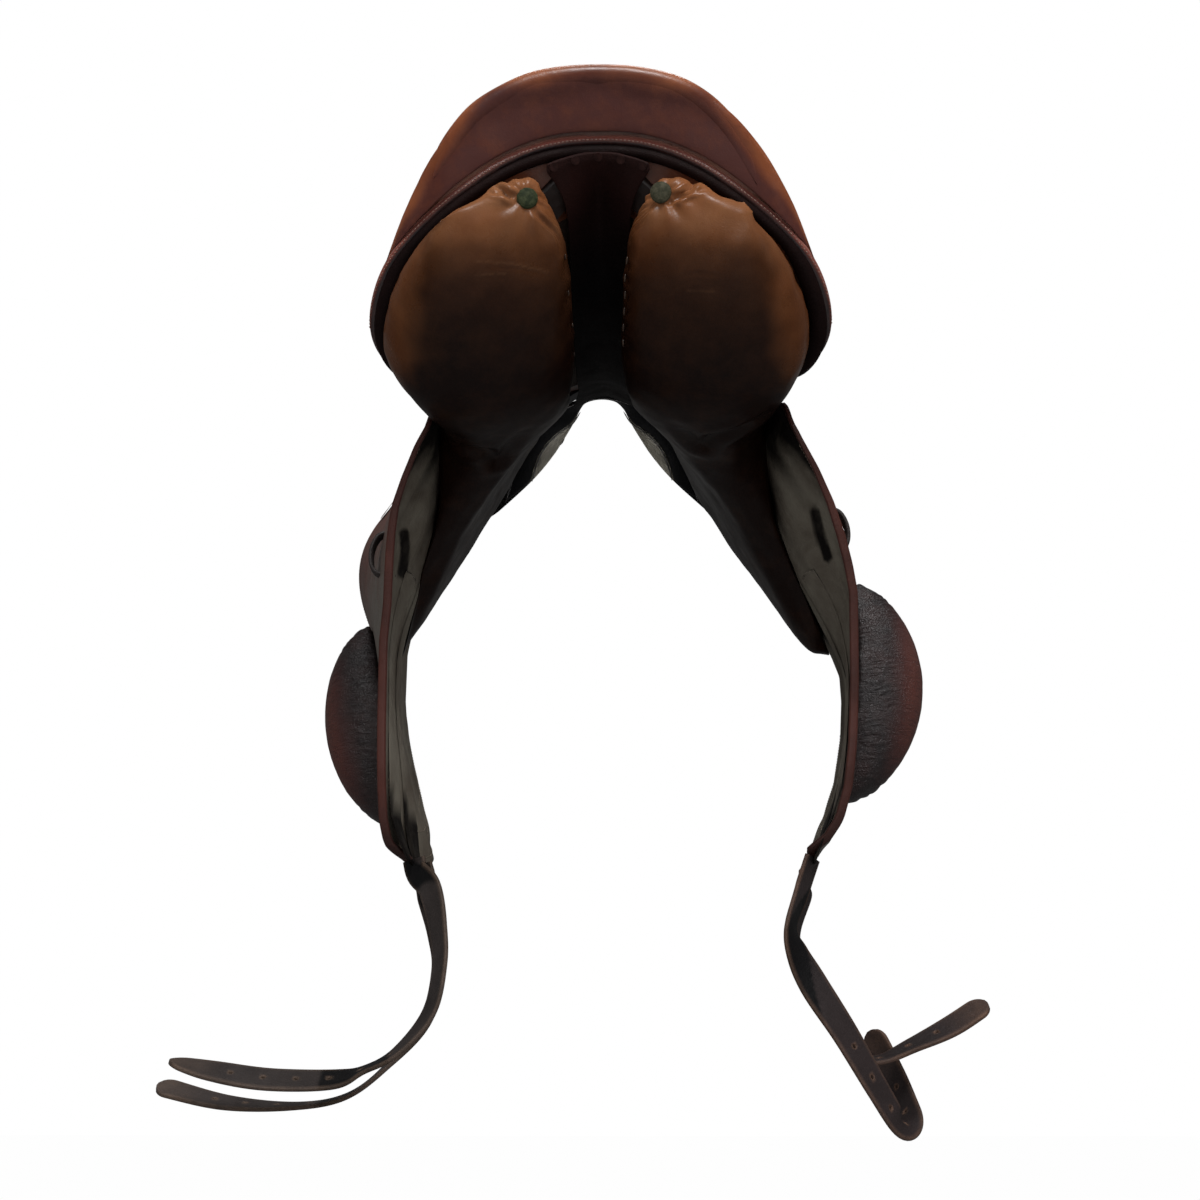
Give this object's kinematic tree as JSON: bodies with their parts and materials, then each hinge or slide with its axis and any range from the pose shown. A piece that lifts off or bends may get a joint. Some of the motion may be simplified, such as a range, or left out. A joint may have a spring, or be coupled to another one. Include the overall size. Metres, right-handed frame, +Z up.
{
  "type": "monoflap saddle",
  "caption": "English monoflap saddle with a deep seat, wool-filled panels, long straight flaps, external knee blocks and long girth billets.",
  "frame": {"origin": "centre plane of the saddle, under the middle of the seat, where a rack's ridge carries the panels", "axes": "+Z up, +Y towards the pommel, +X towards the right flap"},
  "size_m": [0.6967, 0.5047, 0.8255],
  "materials": {
    "seat": "satin, glossy with wear",
    "facing": "satin, dark in the middle",
    "welt": "satin",
    "panel": "soft satin",
    "lining": "matte",
    "band": "matte",
    "beige": "matte",
    "flap": "matte inside",
    "edge": "satin",
    "skirt": "satin",
    "block": "grained",
    "strap": "dry",
    "steel": "brushed",
    "painted": "black paint",
    "nail": "tarnished",
    "tree": "laminate",
    "webbing": "linen"
  },
  "bodies": {
    "saddle": {"tree_frame": "tree", "head_plate": "painted", "seat_webbing": "webbing", "seat_cushion": "seat", "cantle_facing": "facing", "cantle_welt": "welt", "gullet_lining": "lining", "lining_nail_1": "nail", "lining_nail_2": "nail", "lining_nail_3": "nail", "lining_nail_4": "nail", "lining_nail_5": "nail", "panel_left": "panel", "panel_right": "panel", "panel_button_left": "nail", "panel_button_right": "nail", "head_lining": "band", "pommel_facing": "beige", "stirrup_bar_left": "steel", "stirrup_bar_right": "steel", "dee_staple_left": "steel", "dee_staple_right": "steel", "pommel_nail_left": "nail", "pommel_nail_right": "nail", "billet_web_front_left": "webbing", "billet_web_rear_left": "webbing", "billet_web_front_right": "webbing", "billet_web_rear_right": "webbing"},
    "flap_left": {"flap_left": "flap", "flap_edge_left": "edge", "knee_block_left": "block", "keeper_left": "strap"},
    "skirt_left": {"skirt_left": "skirt"},
    "catch_left": {"bar_catch_left": "steel"},
    "dee_left": {"dee_ring_left": "steel"},
    "billet_front_left": {"billet_front_left": "strap"},
    "billet_rear_left": {"billet_rear_left": "strap"},
    "flap_right": {"flap_right": "flap", "flap_edge_right": "edge", "knee_block_right": "block", "keeper_right": "strap"},
    "skirt_right": {"skirt_right": "skirt"},
    "catch_right": {"bar_catch_right": "steel"},
    "dee_right": {"dee_ring_right": "steel"},
    "billet_front_right": {"billet_front_right": "strap"},
    "billet_rear_right": {"billet_rear_right": "strap"}
  },
  "joints": [
    {"name": "flap_swing_left", "type": "hinge", "parent": "saddle", "child": "flap_left", "pos_m": [-0.1231, 0.06, 0.0561], "axis": [0.1546, 0.9368, 0.3138], "range_deg": [0, 22]},
    {"name": "skirt_lift_left", "type": "hinge", "parent": "flap_left", "child": "skirt_left", "pos_m": [-0.1231, 0.06, 0.0561], "axis": [0.1546, 0.9368, 0.3138], "range_deg": [0, 35]},
    {"name": "catch_turn_left", "type": "hinge", "parent": "saddle", "child": "catch_left", "pos_m": [-0.1405, 0.0724, 0.028], "axis": [-1, 0, 0], "range_deg": [0, 45]},
    {"name": "dee_turn_left", "type": "hinge", "parent": "saddle", "child": "dee_left", "pos_m": [-0.06, 0.2329, 0.098], "axis": [1, 0, 0], "range_deg": [0, 85]},
    {"name": "billet_swing_front_left", "type": "hinge", "parent": "saddle", "child": "billet_front_left", "pos_m": [-0.1653, 0.07177, -0.41979], "axis": [0.0327, 0.9995, 0], "range_deg": [-15, 30]},
    {"name": "billet_swing_rear_left", "type": "hinge", "parent": "saddle", "child": "billet_rear_left", "pos_m": [-0.16636, 0.03581, -0.41989], "axis": [0.0277, 0.9996, 0], "range_deg": [-15, 30]},
    {"name": "flap_swing_right", "type": "hinge", "parent": "saddle", "child": "flap_right", "pos_m": [0.1231, 0.06, 0.0561], "axis": [0.1546, -0.9368, -0.3138], "range_deg": [0, 22]},
    {"name": "skirt_lift_right", "type": "hinge", "parent": "flap_right", "child": "skirt_right", "pos_m": [0.1231, 0.06, 0.0561], "axis": [0.1546, -0.9368, -0.3138], "range_deg": [0, 35]},
    {"name": "catch_turn_right", "type": "hinge", "parent": "saddle", "child": "catch_right", "pos_m": [0.1405, 0.0724, 0.028], "axis": [-1, 0, 0], "range_deg": [0, 45]},
    {"name": "dee_turn_right", "type": "hinge", "parent": "saddle", "child": "dee_right", "pos_m": [0.06, 0.2329, 0.098], "axis": [1, 0, 0], "range_deg": [0, 85]},
    {"name": "billet_swing_front_right", "type": "hinge", "parent": "saddle", "child": "billet_front_right", "pos_m": [0.18483, 0.0724, -0.41928], "axis": [-0.0584, -0.9983, 0], "range_deg": [-15, 30]},
    {"name": "billet_swing_rear_right", "type": "hinge", "parent": "saddle", "child": "billet_rear_right", "pos_m": [0.18257, 0.03644, -0.41939], "axis": [-0.0646, -0.9979, 0], "range_deg": [-15, 30]}
  ]
}
